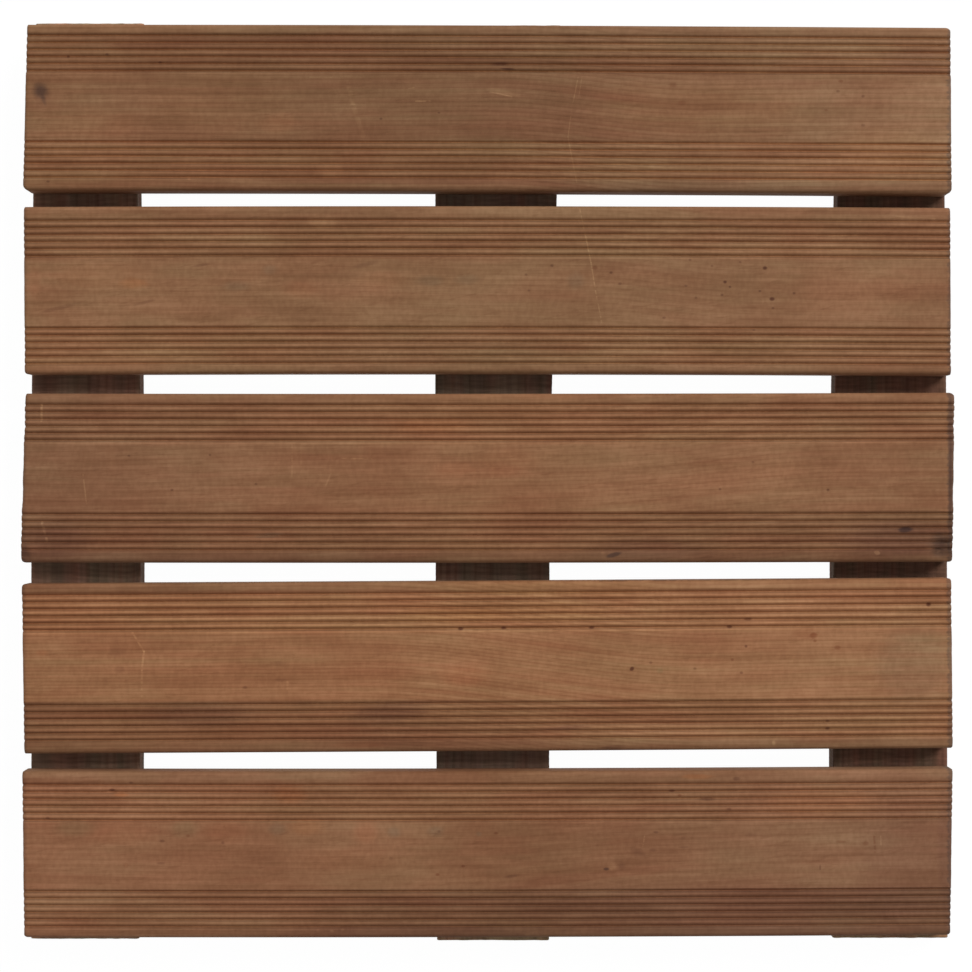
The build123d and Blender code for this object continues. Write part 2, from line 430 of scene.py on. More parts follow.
front_board_marks = (
    # painted light: a paler strip along the back edge, which faces the key light
    *tint_patches(straw_tint, (180, 774, 130, 5, 0.7)),
    # painted shade along the front edge; darker towards the right end
    *tint_patches(shade_tint, (640, 905, 170, 14, 0.5), (420, 932, 75, 5, 0.75), (700, 932, 90, 5, 0.45),
        (905, 860, 26, 40, 0.35), (945, 850, 4, 40, 0.5)),
    *tint_patches(green_tint, (75, 829, 12, 5, 0.9), (185, 829, 8, 5, 0.9)),
    *tint_patches(red_tint, (121, 833, 20, 7, 0.6), (226, 832, 14, 6, 0.6), (366, 832, 7, 7, 0.8),
        (350, 860, 35, 8, 0.35)),
    *tint_patches(orange_tint, (307, 827, 10, 5, 0.35), (290, 795, 10, 5, 0.45), (121, 795, 4.5, 1.2, 0.7),
        (697, 776.5, 9, 1.6, 0.7), (820, 802, 33, 8, 0.3)),
    *tint_patches(grey_tint, (277, 829, 5, 4, 0.7), (394, 832, 4, 3, 0.8), (436, 831, 5, 3, 0.7),
        (479, 833.5, 1.6, 1.4, 0.8)),
    *tint_patches(dark_tint, (111.8, 790.3, 1.8, 0.8, 0.8), (131, 783, 1.3, 0.7, 0.6),
        (47.5, 818.7, 1.3, 0.7, 0.6), (162.3, 841.2, 1.6, 0.8, 0.55), (222.8, 842.7, 1, 1, 0.5),
        (160.8, 863.4, 2, 0.8, 0.4), (439, 831.2, 1, 0.8, 0.5), (390.8, 858, 1.2, 1, 0.3),
        (511, 876, 4.5, 0.9, 0.45, 8), (621.6, 865.7, 2.2, 2.8, 0.28, 20, 0.9),
        (638.4, 851.9, 4.5, 2.6, 0.3, -25, 0.9), (653, 850, 2, 1, 0.3), (656, 832, 1.6, 0.8, 0.5),
        (682, 838, 2.2, 0.7, 0.15), (684, 847, 3, 0.6, 0.3), (672, 790.6, 2, 0.8, 0.9),
        (707, 799, 4.5, 1.1, 0.6), (736.5, 778.6, 2, 1.2, 0.55), (729, 809, 1.4, 0.8, 0.6),
        (751, 835, 3.5, 1.2, 0.22), (820.2, 867.8, 0.5, 1.6, 0.5)),
    *tint_patches(rust_tint, (188, 835.8, 1.2, 0.8, 0.8), (126, 865.7, 1.5, 1.5, 0.45),
        (437.5, 874.1, 1.3, 0.9, 0.95), (463.2, 865.7, 1.1, 0.8, 0.9), (496, 832.8, 1.2, 0.9, 0.9),
        (679.8, 795.5, 1.2, 0.9, 0.9), (841, 842, 2.8, 0.8, 0.6), (865.8, 843.7, 1.8, 1.4, 0.6)),
    *tint_patches(pale_tint, (126, 865.7, 0.9, 0.9, 0.3), (638, 847, 1.8, 0.6, 0.5), (318, 930, 1, 0.8, 0.5)),
    *tint_patches(knot_tint, (606.3, 868.8, 1.8, 0.9, 0.9, 0, 0.5)),
    *tint_patches(scuff_tint, (612, 867, 2.6, 2.6, 0.35), (331.9, 930.8, 1.2, 0.8, 0.55),
        (342.6, 929.3, 1, 0.8, 0.45)),
    *scratches(scuff_tint, (644.5, 836, 643, 846, 0.5, 0.5), (880.7, 837, 881, 845, 0.6, 0.4)),
    *scratches(rust_tint, (874, 833, 875, 853, 0.8, 0.7)),
)

boards = (
    Board(
        "back_board", -1.0, -0.20, 0.4, -0.7, 0.3, 1.3, -0.7, 0.5, 0.2,
        Grain((85, -30), 2.1, 3.0, 0.010, (0, 120, -10), 1.0, 0.8,
              ((123, 85, 57), (118, 82, 55), (139, 102, 72)),
              (1.16, 1.03), (1.03, 1.01), (1.18, 1.17), (1.08, 0.88), 0.5, 1.7),
        back_board_marks,
        (Dent((40.6, 92), 4.0, 0.5), Dent((507, 69), 3.0, 0.8)),
        (0.4, 2.6, 3.2, 2.8),
    ),
    Board(
        "back_inner_board", -0.3, -0.06, -1.2, -0.3, 0.0, -0.4, -0.3, 0.7, 0.2,
        Grain((-70, 70), 2.4, 3.5, -0.012, (50, 140, -8), 0.55, 1.1,
              ((130, 91, 62), (127, 90, 61), (132, 93, 64)),
              (0.97, 1.02), (1.07, 1.13), (1.18, 1.13), (1.02, 0.92), 0.8, 4.3),
        back_inner_board_marks,
        (Dent((765, 268), 2.0, 0.3),),
        (0.5, 0.6, 1.5, 0.6),
    ),
    Board(
        "middle_board", 0.6, 0.05, 0.3, 0.4, 1.6, 1.8, 0.6, -0.35, 0.6,
        Grain((75, 60), 2.0, 3.5, 0.015, (50, 200, 10), 0.6, 1.0,
              ((122, 84, 58), (133, 91, 61), (131, 91, 62)),
              (0.96, 1.03), (1.11, 1.11), (1.06, 0.93), (0.69, 0.72), 0.9, 7.9),
        middle_board_marks,
        (Dent((943, 549), 9.0, 1.6), Dent((24, 558), 5.0, 1.2), Dent((614, 554.5), 4.0, 0.5)),
        (0.5, 2.4, 2.2, 1.5),
    ),
    Board(
        "front_inner_board", 1.0, 0.35, 0.3, 0.4, 0.8, -0.5, -0.2, -0.15, 0.2,
        Grain((95, 50), 1.8, 2.5, 0.0, (-70, 120, -18), 0.95, 0.9,
              ((141, 97, 65), (144, 99, 66), (147, 104, 71)),
              (0.71, 1.06), (1.17, 1.12), (0.76, 1.03), (0.64, 0.67), 1.0, 2.6),
        front_inner_board_marks,
        (Dent((632, 668.7), 2.5, 0.4), Dent((928.8, 604.8), 2.2, 0.6)),
        (1.5, 1.2, 0.4, 1.0),
    ),
    Board(
        "front_board", -1.0, 0.15, -0.7, 0.3, 0.5, -0.5, 1.0, -0.65, 0.2,
        Grain((-80, -40), 2.3, 3.5, 0.008, (0, 100, 6), 0.5, 1.0,
              ((133, 91, 63), (124, 85, 57), (127, 88, 62)),
              (0.95, 1.05), (1.15, 1.19), (1.03, 0.84), (0.86, 0.64), 0.8, 5.2),
        front_board_marks,
        (Dent((606, 869), 2.5, 0.3), Dent((111.8, 790.3), 2.2, 0.5)),
        (0.4, 0.5, 1.8, 2.0),
    ),
)

bare_batten_tone = linear(150, 118, 90)  # paler, past the outer boards, where the battens' ends show

battens = (
    Batten("left_batten", -1, (-0.4, -0.5, 1.2), (-1.2, -0.3, -3.2), (1.0, 4.6), linear(121, 94, 78), 3.1),
    Batten("middle_batten", 0, (2.6, 1.5, 1.6), (3.9, 4.3, 10.6), (0.0, 0.0), linear(113, 88, 74), 6.4),
    Batten("right_batten", 1, (-0.2, 0.6, 3.8), (2.9, 2.6, 0.6), (0.0, 0.0), linear(101, 75, 61), 9.7),
)


# Node trees

SOCKET_KINDS = {float: "NodeSocketFloat", int: "NodeSocketInt"}
BARE_SOCKETS = {
    "geometry": "NodeSocketGeometry",
    "object": "NodeSocketObject",
    "material": "NodeSocketMaterial",
}
OUTPUT_KINDS = {"VALUE": "NodeSocketFloat", "RGBA": "NodeSocketColor"}
ORIGIN = (0.0, 0.0, 0.0)
Z_AXIS = (0.0, 0.0, 1.0)


def socket_kind(value):
    """The kind of socket that holds a value."""
    if isinstance(value, tuple):
        return "NodeSocketColor" if len(value) == 4 else "NodeSocketVector"
    return BARE_SOCKETS.get(value) or SOCKET_KINDS[type(value)]


def label(name):
    """The label of the socket that has this name in the script."""
    return name.replace("_", " ").title()


class Value:
    """One output of a node. A sum written with it adds the node that works it out."""

    def __init__(self, nodes, socket):
        self.nodes = nodes
        self.socket = socket

    def __add__(self, other):
        return self.nodes.sum("ADD", self, other)

    def __sub__(self, other):
        return self.nodes.sum("SUBTRACT", self, other)

    def __rsub__(self, other):
        return self.nodes.sum("SUBTRACT", other, self)

    def __mul__(self, other):
        return self.nodes.sum("MULTIPLY", self, other)

    def __rmul__(self, other):
        return self.nodes.sum("MULTIPLY", other, self)

    def __truediv__(self, other):
        return self.nodes.sum("DIVIDE", self, other)

    def __neg__(self):
        return self * -1.0

    def __abs__(self):
        return self.nodes.maths("ABSOLUTE", self)

    def __gt__(self, other):
        return self.nodes.maths("GREATER_THAN", self, other)

    def __lt__(self, other):
        return self.nodes.maths("LESS_THAN", self, other)


def is_vector(value):
    """Whether a sum with this value is one of vectors."""
    return isinstance(value, tuple) or isinstance(value, Value) and value.socket.type == "VECTOR"


class Nodes:
    """A node tree as it is built: each call adds one node and gives back one of its outputs."""

    def __init__(self, tree):
        self.tree = tree

    def fill(self, socket, value):
        """Links an output to an input, or sets the input."""
        if isinstance(value, Value):
            self.tree.links.new(value.socket, socket)
        else:
            socket.default_value = value

    def put(self, kind, *values, out=0, named=None, **settings):
        """Adds a node with its settings and inputs, in order or by name."""
        node = self.tree.nodes.new(kind)
        for setting, value in settings.items():
            setattr(node, setting, value)
        for socket, value in zip(node.inputs, values):
            if value is not None:
                self.fill(socket, value)
        for name, value in (named or {}).items():
            self.fill(node.inputs[label(name)], value)
        return Value(self, node.outputs[out])

    def outputs(self, value):
        """Every output of a value's node, by name."""
        return SimpleNamespace(
            **{out.name.lower().replace(" ", "_"): Value(self, out) for out in value.socket.node.outputs}
        )

    def maths(self, operation, *values):
        """A sum of one, two or three numbers."""
        return self.put("ShaderNodeMath", *values, operation=operation)

    def vector(self, operation, *values, out=0):
        """A sum of vectors."""
        return self.put("ShaderNodeVectorMath", *values, out=out, operation=operation)

    def sum(self, operation, *values):
        """A sum of two numbers, or of two vectors where one of them is a vector."""
        if any(is_vector(value) for value in values):
            return self.vector(operation, *((v, v, v) if isinstance(v, float) else v for v in values))
        return self.maths(operation, *values)

    def scaled(self, vector, factor):
        """A vector or a colour times a number."""
        return self.vector("SCALE", vector, None, None, factor)

    def length(self, vector):
        """A vector's length."""
        return self.vector("LENGTH", vector, out=1)

    def dot(self, first, second):
        """How far one vector reaches along another."""
        return self.vector("DOT_PRODUCT", first, second, out=1)

    def at_least_zero(self, value):
        """A number, or zero where it is less."""
        return self.maths("MAXIMUM", value, 0.0)

    def join(self, x, y, z):
        """A vector from its three parts."""
        return self.put("ShaderNodeCombineXYZ", x, y, z)

    def split(self, vector):
        """The three parts of a vector."""
        parts = self.outputs(self.put("ShaderNodeSeparateXYZ", vector))
        return parts.x, parts.y, parts.z

    def turned(self, place, angle):
        """A place turned about the Z axis through the origin."""
        return self.put(
            "ShaderNodeVectorRotate", place, ORIGIN, Z_AXIS, angle, rotation_type="AXIS_ANGLE"
        )

    def noise(self, place, detail=2.0, roughness=0.5):
        """Soft noise from 0 to 1 with one wave to a unit of place."""
        return self.put("ShaderNodeTexNoise", place, None, 1.0, detail, roughness)

    def waves(self, place, waves, detail=2.0, roughness=0.5, seed=0.0):
        """Soft noise with its own number of waves to a metre in each direction."""
        shift = (seed,) * 3 if isinstance(seed, float) else seed
        return self.noise(self.vector("MULTIPLY_ADD", place, waves, shift), detail, roughness)

    def ramp(self, value, low, high, new_low=0.0, new_high=1.0):
        """A smooth step from one value to another."""
        return self.put(
            "ShaderNodeMapRange", value, low, high, new_low, new_high,
            interpolation_type="SMOOTHSTEP", clamp=False,
        )

    def even(self, value, low, high):
        """A straight step from 0 to 1."""
        return self.put("ShaderNodeMapRange", value, low, high, 0.0, 1.0)

    def between(self, factor, low, high):
        """A number between two others."""
        return self.put("ShaderNodeMapRange", factor, 0.0, 1.0, low, high, clamp=False)

    def blend(self, factor, first, second, blend_type="MIX"):
        """One colour laid over another."""
        node = self.tree.nodes.new("ShaderNodeMix")
        node.data_type = "RGBA"
        node.blend_type = blend_type
        for socket, value in ((0, factor), (6, first), (7, second)):
            self.fill(node.inputs[socket], value)
        return Value(self, node.outputs[2])

    def tinted(self, colour, tint, mask):
        """A colour multiplied by a tint where a mask is 1."""
        return self.blend(mask, colour, tint, "MULTIPLY")

    def use(self, group, **inputs):
        """A node group with its inputs by name; gives its outputs, or the output where it has one."""
        kind = "ShaderNodeGroup" if group.bl_idname == "ShaderNodeTree" else "GeometryNodeGroup"
        node = self.tree.nodes.new(kind)
        node.node_tree = group
        for name, value in inputs.items():
            self.fill(node.inputs[label(name)], value)
        first = Value(self, node.outputs[0])
        return first if len(node.outputs) == 1 else self.outputs(first)


def new_group(group_name, kind, **inputs):
    """A node group with its inputs by name; gives its nodes and its inputs."""
    tree = bpy.data.node_groups.new(group_name, kind)
    for name, value in inputs.items():
        socket = tree.interface.new_socket(label(name), in_out="INPUT", socket_type=socket_kind(value))
        if value not in BARE_SOCKETS:
            socket.default_value = value
    nodes = Nodes(tree)
    entry = tree.nodes.new("NodeGroupInput")
    return nodes, SimpleNamespace(**{name: Value(nodes, entry.outputs[label(name)]) for name in inputs})


def end_group(nodes, **outputs):
    """Ends a node group with its outputs by name, and gives its tree."""
    for name, value in outputs.items():
        kind = OUTPUT_KINDS.get(value.socket.type, "NodeSocketGeometry")
        nodes.tree.interface.new_socket(label(name), in_out="OUTPUT", socket_type=kind)
    leave = nodes.tree.nodes.new("NodeGroupOutput")
    for name, value in outputs.items():
        nodes.fill(leave.inputs[label(name)], value)
    return nodes.tree


# Geometry: a plank swept from its section, with closed ends

def stored(nodes, geometry, name, value, data_type="FLOAT"):
    """Geometry whose points keep a value."""
    return nodes.put(
        "GeometryNodeStoreNamedAttribute", geometry, None, name, value, data_type=data_type, domain="POINT"
    )


def read(nodes, name, data_type="FLOAT"):
    """A value that a point keeps."""
    return nodes.put("GeometryNodeInputNamedAttribute", name, data_type=data_type)


def sweep_group():
    """Sweeps a section along a rail. Each point keeps its place on the section and along the rail."""
    nodes, given = new_group("plank_sweep", "GeometryNodeTree", section="geometry", rings=100, cap_rings=6)
    outline = nodes.put("GeometryNodeMeshToCurve", given.section)
    outline = stored(nodes, outline, "section", nodes.put("GeometryNodeInputPosition"), "FLOAT_VECTOR")
    rail = nodes.put("GeometryNodeCurvePrimitiveLine", ORIGIN, (1.0, 0.0, 0.0))
    rail = nodes.put("GeometryNodeResampleCurve", named={"curve": rail, "count": given.rings})
    rail = stored(nodes, rail, "ring", nodes.put("GeometryNodeInputIndex"))
    skin = nodes.put("GeometryNodeCurveToMesh", named={"curve": rail, "profile_curve": outline})
    ring = read(nodes, "ring")
    last = given.rings - 1.0
    from_end = nodes.maths("MINIMUM", ring, last - ring)
    inward = nodes.maths("POWER", nodes.ramp(from_end, given.cap_rings, 0.0), cap_curve)
    along = nodes.put("ShaderNodeClamp", (ring - given.cap_rings) / (last - given.cap_rings * 2.0))
    skin = stored(nodes, skin, "along", along)
    skin = stored(nodes, skin, "inward", inward)
    return end_group(nodes, skin=skin)


def swept_plank(nodes, given, sweep):
    """A plank's skin and its points' places: those of the end caps are drawn in to the plank's core."""
    skin = nodes.use(sweep, section=given.section, rings=given.rings, cap_rings=cap_rings)
    across, height, _ = nodes.split(read(nodes, "section", "FLOAT_VECTOR"))
    along = read(nodes, "along")
    inward = read(nodes, "inward")
    off_pole = inward < pole
    half_thickness = given.thickness * 0.5
    core = given.half_width - half_thickness
    core_across = nodes.put("ShaderNodeClamp", across, -core, core) * off_pole
    return SimpleNamespace(
        skin=skin, height=height, along=along, off_pole=off_pole, half_thickness=half_thickness,
        side=across + inward * (core_across - across), z=height + inward * (half_thickness - height),
        off_cap=inward < 0.001, at_end=(along > 0.9999) - (along < 0.0001),
    )


def finish_skin(nodes, skin, material):
    """Closes the ends, drops what the sweep left on the points and gives the material."""
    skin = nodes.put("GeometryNodeMergeByDistance", named={"geometry": skin, "distance": merge_distance})
    for name in ("section", "ring", "along", "inward"):
        skin = nodes.put("GeometryNodeRemoveAttribute", named={"geometry": skin, "name": name})
    skin = nodes.put("GeometryNodeSetShadeSmooth", skin)
    skin = nodes.put("GeometryNodeRealizeInstances", skin)
    return nodes.put("GeometryNodeSetMaterial", named={"geometry": skin, "material": material})


def bend(x, crook):
    """How far a crooked board lies to the back at x: nothing on average."""
    reach = x / (board_length / 2)
    return (1 / 3 - reach * reach) * crook


def grooved_board_tree(sweep):
    """A grooved board: ends cut, corners rounded, faces worn, dents, and its place on the battens."""
    nodes, given = new_group(
        "grooved_board", "GeometryNodeTree", section="geometry", dents="object", material="material",
        rings=250, left_end=-0.25, right_end=0.25, left_cut=0.0, right_cut=0.0, half_width=0.045,
        thickness=0.016, skew=0.0, centre=ORIGIN, back_left_radius=0.001, back_right_radius=0.001,
        front_left_radius=0.001, front_right_radius=0.001, crook=0.0, raggedness=0.0002, seed=0.0,
    )
    plank = swept_plank(nodes, given, sweep)
    y, z = plank.side, plank.z
    torn = nodes.waves(nodes.join(0.0, y, z), board_end_waves, 4.0, 0.65, given.seed) - 0.5
    torn = torn * given.raggedness * 3.0
    at_back = y > 0.0

    def end_x(side, outward):
        """Where the end at one side lies, with its two corners rounded."""
        value = vars(given)
        radius = nodes.between(at_back, value[f"front_{side}_radius"], value[f"back_{side}_radius"])
        into = nodes.at_least_zero(abs(y) - given.half_width + radius)
        cutback = radius - nodes.maths("SQRT", nodes.at_least_zero(radius * radius - into * into))
        return value[side + "_end"] + y * value[side + "_cut"] + (torn - cutback) * outward

    x = nodes.between(plank.along, end_x("left", -1.0), end_x("right", 1.0))
    x = x - plank.off_cap * plank.at_end * end_ease
    place = nodes.join(x, y + bend(x, given.crook), z)
    worn = nodes.ramp(nodes.waves(place, ridge_wear_waves, seed=given.seed), 0.42, 0.75)
    on_top = nodes.ramp(plank.height, given.thickness - 0.9 * MM, given.thickness)

    dents = nodes.put("GeometryNodeObjectInfo", given.dents, out="Geometry")
    nearest = nodes.put("GeometryNodeSampleNearest", dents, place)

    def of_dent(value, data_type="FLOAT"):
        """A value of the nearest dent."""
        return nodes.put("GeometryNodeSampleIndex", dents, value, nearest, data_type=data_type)

    middle = of_dent(nodes.put("GeometryNodeInputPosition"), "FLOAT_VECTOR")
    distance = nodes.length((place - middle) * (1.0, 1.0, 0.0)) / of_dent(read(nodes, "reach"))
    rough = nodes.waves(place, dent_waves, 3.0, 0.6)
    pressed = nodes.ramp(distance + (rough - 0.5) * 1.1, 1.0, 0.3) * of_dent(read(nodes, "depth"))
    pressed = pressed * nodes.ramp(rough, 0.25, 0.7, 0.5, 1.0)
    pressed = pressed * nodes.ramp(plank.height, plank.half_thickness, given.thickness)
    lowered = (worn * on_top * ridge_wear + pressed) * plank.off_pole
    place = nodes.turned(place - nodes.join(0.0, 0.0, lowered), given.skew) + given.centre
    skin = nodes.put("GeometryNodeSetPosition", plank.skin, None, place)
    skin = nodes.put("GeometryNodeFlipFaces", skin)
    return end_group(nodes, board=finish_skin(nodes, skin, given.material))


def saw_stripes(nodes, place, pitch, seed):
    """Stripes from -1 to 1 that the band saw left across the wood, a little off straight."""
    wander = nodes.waves(place, saw_wander_waves, seed=seed)
    return nodes.maths("SINE", (nodes.split(place)[1] + wander * saw_wander) / pitch * (2.0 * math.pi))


def sawn_batten_tree(sweep):
    """A rough-sawn batten with wandering edges, band-saw marks across it and staple pockets."""
    nodes, given = new_group(
        "sawn_batten", "GeometryNodeTree", section="geometry", pockets="object", material="material",
        rings=400, front_end=-0.25, back_end=0.25, half_width=0.03, thickness=0.016, middle=0.0,
        left_front=0.0, left_middle=0.0, left_back=0.0, right_front=0.0, right_middle=0.0,
        right_back=0.0, left_flare=0.0, right_flare=0.0, seed=0.0,
    )
    plank = swept_plank(nodes, given, sweep)
    side, z = plank.side, plank.z
    torn = nodes.waves(nodes.join(side, 0.0, z), batten_end_waves, 4.0, 0.65, given.seed) - 0.5
    y = nodes.between(plank.along, given.front_end, given.back_end)
    y = y + (torn * batten_tear - plank.off_cap * batten_end_ease) * plank.at_end
    reach = y / batten_reach
    back = nodes.at_least_zero(reach)
    front = nodes.at_least_zero(-reach)
    flared = nodes.ramp(reach, 0.80, 0.97)

    def edge_offset(edge):
        """How far an edge lies to the right of its even place."""
        at_front, at_middle, at_back, flare = (
            vars(given)[f"{edge}_{part}"] for part in ("front", "middle", "back", "flare")
        )
        return at_middle + (at_back - at_middle) * back + (at_front - at_middle) * front + flared * flare

    share = nodes.between(side / given.half_width, 0.5, 1.0)
    x = side + nodes.between(share, edge_offset("left"), edge_offset("right")) + given.middle
    place = nodes.join(x, y, z)
    skin = nodes.put("GeometryNodeSetPosition", plank.skin, None, place)

    patchy = nodes.ramp(nodes.waves(place, saw_patch_waves), 0.35, 0.65)
    fuzz = nodes.waves(place, fuzz_waves, 3.0, 0.6) - 0.5
    relief = saw_stripes(nodes, place, saw_pitch, given.seed) * patchy * 0.5 + fuzz * 2.0 - 1.2
    relief = relief * saw_depth * plank.off_cap * nodes.ramp(abs(reach), 1.0, 0.97)
    relief = nodes.scaled(nodes.put("GeometryNodeInputNormal"), relief)
    skin = nodes.put("GeometryNodeSetPosition", skin, None, None, relief)
    skin = finish_skin(nodes, skin, given.material)
    pockets = nodes.put("GeometryNodeObjectInfo", given.pockets, out="Geometry")
    cut = nodes.put(
        "GeometryNodeMeshBoolean", named={"mesh_1": skin, "mesh_2": pockets},
        operation="DIFFERENCE", solver="MANIFOLD",
    )
    cut = nodes.put("GeometryNodeSetMaterial", named={"geometry": cut, "material": given.material})
    return end_group(nodes, batten=cut)


def staples_tree():
    """A shape set at each staple's place, turned as that staple is."""
    nodes, given = new_group(
        "staples_in_place", "GeometryNodeTree", places="geometry", shape="object", material="material"
    )
    shape = nodes.put("GeometryNodeObjectInfo", given.shape, out="Geometry")
    turn = nodes.join(0.0, 0.0, read(nodes, "turn"))
    placed = nodes.put(
        "GeometryNodeInstanceOnPoints", named={"points": given.places, "instance": shape, "rotation": turn}
    )
    placed = nodes.put("GeometryNodeRealizeInstances", placed)
    placed = nodes.put("GeometryNodeSetMaterial", named={"geometry": placed, "material": given.material})
    return end_group(nodes, staples=placed)


def arc_points(centre, radius, start, end, steps):
    """Points along an arc, angles in degrees, both ends included."""
    angles = [math.radians(start + (end - start) * step / steps) for step in range(steps + 1)]
    return [(centre[0] + radius * math.cos(a), centre[1] + radius * math.sin(a)) for a in angles]


def run_points(start, end, step):
    """Points between two others, evenly spaced, without the two."""
    count = max(1, round(math.dist(start, end) / step))
    shares = [index / count for index in range(1, count)]
    return [(start[0] + (end[0] - start[0]) * s, start[1] + (end[1] - start[1]) * s) for s in shares]


def groove_points(middle, top):
    """A groove's points from its front lip to its back lip."""
    half_turn = math.radians(90 - groove_wall_draft) / 2
    lean = groove_depth * math.tan(math.radians(groove_wall_draft))
    lip_centre = groove_width / 2 + ridge_radius * math.tan(half_turn)
    foot_centre = groove_width / 2 - lean - groove_floor_radius * math.tan(half_turn)
    floor = top - groove_depth
    half = arc_points((middle - lip_centre, top - ridge_radius), ridge_radius, 90, groove_wall_draft, 5)
    half += arc_points(
        (middle - foot_centre, floor + groove_floor_radius), groove_floor_radius,
        180 + groove_wall_draft, 270, 2,
    )
    return half + [(middle, floor)] + [(2 * middle - across, height) for across, height in reversed(half)]


def board_outline(board):
    """A board's section, clockwise from its front face: across and height from its underside."""
    half = board.half_width
    top = board_thickness
    inset = top_edge_radius
    points = run_points((-half, bottom_edge_radius), (-half, top - inset), 2 * section_step)
    points += arc_points((-half + inset, top - inset), inset, 180, 90, 7)
    last = points[-1]
    middles = [board.outermost_groove - index * groove_pitch for index in range(grooves_per_band)]
    for middle in sorted([-m for m in middles] + middles):
        groove = groove_points(middle + board.groove_shift * MM, top)
        points += run_points(last, groove[0], section_step) + groove
        last = groove[-1]
    points += run_points(last, (half - inset, top), section_step)
    points += arc_points((half - inset, top - inset), inset, 90, 0, 7)
    points += run_points((half, top - inset), (half, bottom_edge_radius), 2 * section_step)
    inset = bottom_edge_radius
    points += arc_points((half - inset, inset), inset, 0, -90, 4)
    points += run_points((half - inset, 0), (-half + inset, 0), hidden_step)
    return points + arc_points((-half + inset, inset), inset, -90, -180, 4)


def batten_outline():
    """A batten's section, clockwise from its left face: across and height."""
    half = batten_width / 2
    top = batten_thickness
    cut = batten_edge_chamfer
    corners = [
        (-half, cut), (-half, top - cut), (-half + cut, top), (half - cut, top),
        (half, top - cut), (half, cut), (half - cut, 0), (-half + cut, 0),
    ]
    points = []
    for corner, after in zip(corners, corners[1:] + corners[:1]):
        points += [corner] + run_points(corner, after, section_step)
    return points


def new_object(name, data):
    """An object in the scene."""
    made = bpy.data.objects.new(name, data)
    bpy.context.scene.collection.objects.link(made)
    return made


def outline_object(name, points):
    """A closed line of points as an object's mesh, flat on XY."""
    mesh = bpy.data.meshes.new(name)
    edges = [(index, (index + 1) % len(points)) for index in range(len(points))]
    mesh.from_pydata([(across, height, 0.0) for across, height in points], edges, [])
    return new_object(name, mesh)


def points_object(name, points, **attributes):
    """Loose points as an object, each with its values."""
    mesh = bpy.data.meshes.new(name)
    mesh.from_pydata(points, [], [])
    for attribute_name, values in attributes.items():
        mesh.attributes.new(attribute_name, "FLOAT", "POINT").data.foreach_set("value", values)
    return new_object(name, mesh)


def grown(name, base, tree, **inputs):
    """Runs a geometry tree on an object and gives the result as a new plain object in its place."""
    modifier = base.modifiers.new(tree.name, "NODES")
    modifier.node_group = tree
    identifiers = {item.name: item.identifier for item in tree.interface.items_tree if item.in_out == "INPUT"}
    for input_name, value in inputs.items():
        modifier[identifiers[label(input_name)]] = value
    bpy.context.view_layer.update()
    shaped = base.evaluated_get(bpy.context.evaluated_depsgraph_get())
    mesh = bpy.data.meshes.new_from_object(shaped)
    mesh.name = name
    bpy.data.objects.remove(base)
    return new_object(name, mesh)


# Shader groups

GREY = (0.5, 0.5, 0.5, 1.0)


def tint_patch_group():
    """Tints an oval patch of the wood. A place, scaled and moved, is 1 away from 0 on the oval's outline."""
    nodes, given = new_group(
        "stain", "ShaderNodeTree", wood=GREY, place=ORIGIN, ragged=0.0, scale=ORIGIN, offset=ORIGIN,
        edge=0.6, tint=GREY, strength=1.0,
    )
    distance = nodes.length(nodes.vector("MULTIPLY_ADD", given.place, given.scale, given.offset))
    distance = nodes.maths("MULTIPLY_ADD", given.ragged, given.edge, distance)
    mask = nodes.ramp(distance, given.edge * 0.5 + 1.0, 1.0 - given.edge, 0.0, given.strength)
    return end_group(nodes, wood=nodes.tinted(given.wood, given.tint, mask))


def scratch_group():
    """Tints a thin line of the wood where a mask lets it through."""
    nodes, given = new_group(
        "scratch", "ShaderNodeTree", wood=GREY, place=ORIGIN, broken=1.0, start=ORIGIN, run=ORIGIN,
        width=0.0005, tint=GREY, strength=1.0,
    )
    offset = given.place - given.start
    share = nodes.put("ShaderNodeClamp", nodes.dot(offset, given.run) / nodes.dot(given.run, given.run))
    distance = nodes.length(offset - nodes.scaled(given.run, share))
    mask = nodes.ramp(distance, given.width, given.width * 0.35, 0.0, given.strength) * given.broken
    return end_group(nodes, wood=nodes.tinted(given.wood, given.tint, mask))


def growth_rings_group():
    """The log's rings round its pith: dark latewood lines, and each ring's own tone."""
    nodes, given = new_group(
        "growth_rings", "ShaderNodeTree", place=ORIGIN, pith=ORIGIN, lean=0.0, ring_width=0.002,
        waver=0.003, drift_from=0.0, drift_to=0.1, drift=0.0, seed=0.0,
    )
    along = nodes.split(given.place)[0]
    slow = nodes.waves(given.place, slow_waves, 1.0, 0.5, given.seed) - 0.5
    quick = nodes.waves(given.place, quick_waves, 2.0, 0.5, given.seed) - 0.5
    wander = (slow * 3.0 + quick * 0.45) * given.waver
    aside = along * given.lean + nodes.ramp(along, given.drift_from, given.drift_to) * given.drift
    from_pith = given.place - given.pith - nodes.join(0.0, aside, 0.0)
    radius = nodes.length(from_pith * (0.0, 1.0, 1.0))
    ring = (radius + wander) / given.ring_width
    share = nodes.maths("FRACT", ring)
    late = nodes.ramp(share, 0.35, 0.88) * nodes.ramp(share, 1.0, 0.9)
    tone, broad = (
        nodes.noise(nodes.join(ring * a_ring, along * a_metre, given.seed), 1.0)
        for a_ring, a_metre in (ring_tone_waves, broad_tone_waves)
    )
    return end_group(nodes, latewood=late, ring_tone=tone, broad_tone=broad)


def fibres_group():
    """Fine fibres along the wood: streaks, a finer thread and short dark pores."""
    nodes, given = new_group("wood_fibres", "ShaderNodeTree", place=ORIGIN, seed=0.0)
    streaks = nodes.waves(given.place, streak_waves, 3.0, 0.6, given.seed)
    thread = nodes.waves(given.place, thread_waves, 2.0, 0.6, given.seed)
    pores = nodes.ramp(nodes.waves(given.place, pore_waves, 1.0, 0.5, given.seed), 0.66, 0.78)
    return end_group(nodes, streaks=streaks, thread=thread, pores=pores)


